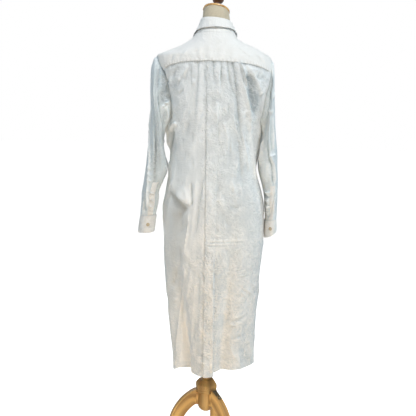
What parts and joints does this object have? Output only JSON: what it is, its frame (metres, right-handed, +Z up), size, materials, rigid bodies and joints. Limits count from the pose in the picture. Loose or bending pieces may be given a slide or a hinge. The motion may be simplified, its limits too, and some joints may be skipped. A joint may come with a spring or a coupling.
{
  "type": "shirt dress on a limbless dress form with a wooden tripod stand",
  "caption": "Long shirt dress with back yoke, box pleat, collar and cuffed sleeves, hanging on a limbless dress form with a turned wooden tripod.",
  "frame": {"origin": "on the floor, under the middle of the whole object's box; the pole's axis stands at x = -11 mm, y = +17 mm", "axes": "+Z up, +Y behind the wearer, +X to the wearer's left"},
  "size_m": [0.4711, 0.383, 1.5733],
  "materials": {
    "cotton": "crisp white poplin, matt with a faint sheen",
    "cotton_band": "doubled white poplin, pressed and topstitched",
    "button": "satin tan horn look",
    "linen": "cream linen stretched over the form",
    "wood": "honey-brown varnished wood",
    "wood_light": "orange-brown varnished wood",
    "wood_dark": "dark stained wood",
    "steel": "dark bronzed steel"
  },
  "bodies": {
    "root": {"back_panel": "cotton", "front_left": "cotton", "front_right": "cotton", "sleeve_left": "cotton", "sleeve_right": "cotton", "back_yoke": "cotton_band", "front_placket": "cotton_band", "collar_stand": "cotton_band", "collar_fall": "cotton_band", "cuff_left": "cotton_band", "cuff_right": "cotton_band", "sleeve_placket_left": "cotton_band", "sleeve_placket_right": "cotton_band", "front_button_01": "button", "front_button_02": "button", "front_button_03": "button", "front_button_04": "button", "front_button_05": "button", "front_button_06": "button", "front_button_07": "button", "front_button_08": "button", "front_button_09": "button", "cuff_button_left": "button", "cuff_button_right": "button", "form_torso": "linen", "neck_cap": "wood_light", "neck_finial": "wood_dark", "pole": "wood", "hub": "wood", "leg_1": "wood", "leg_2": "wood", "leg_3": "wood", "leg_strap": "steel", "leg_bolt": "steel"}
  },
  "joints": []
}
